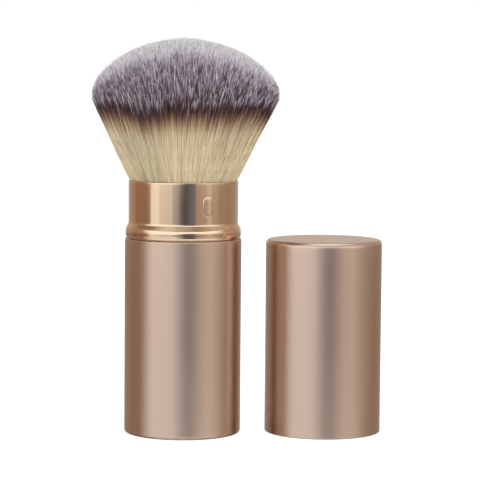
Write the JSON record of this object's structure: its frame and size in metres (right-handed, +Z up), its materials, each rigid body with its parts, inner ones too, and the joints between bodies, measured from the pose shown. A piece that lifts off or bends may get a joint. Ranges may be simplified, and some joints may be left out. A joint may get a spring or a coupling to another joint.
{
  "type": "retractable powder brush",
  "caption": "Retractable powder brush with a metal handle, a sliding sleeve and a domed flared tuft, its cap taken off and stood beside it.",
  "frame": {"origin": "centre of the base's foot, on the brush's axis, at the surface that it stands on", "axes": "+Z up the brush's axis towards the bristles, +X towards the cap that stands beside it, the pictured side faces -Y"},
  "size_m": [0.0704, 0.045, 0.0945],
  "materials": {
    "satin_base": "satin rose gold anodised",
    "bright_sleeve": "bright polished, gold anodised",
    "steel_weight": "turned, zinc plated",
    "screw_steel": "zinc plated",
    "moulded_plastic": "moulded ABS",
    "silicone_ring": "translucent silicone",
    "set_resin": "set two part adhesive",
    "bristle_fibre": "fine soft fibre, pale tips, a dark band and a cream base"
  },
  "bodies": {
    "base": {"base_shell": "satin_base", "base_weight": "steel_weight", "base_liner": "moulded_plastic", "carrier": "moulded_plastic", "ferrule": "bright_sleeve", "head_socket": "moulded_plastic", "head_screw": "screw_steel", "root_resin": "set_resin", "bristles": "bristle_fibre"},
    "sleeve": {"sleeve": "bright_sleeve", "foot_bush": "moulded_plastic", "drag_ring": "silicone_ring"},
    "cap": {"cap_shell": "satin_base"}
  },
  "joints": [
    {"name": "sleeve_slide", "type": "slide", "parent": "base", "child": "sleeve", "axis": [0, 0, 1], "range_m": [0, 0.034], "deforming": ["bristles"]},
    {"name": "cap_lift", "type": "slide", "parent": "base", "child": "cap", "axis": [0.1736, 0, 0.9848], "range_m": [0, 0.1]}
  ]
}
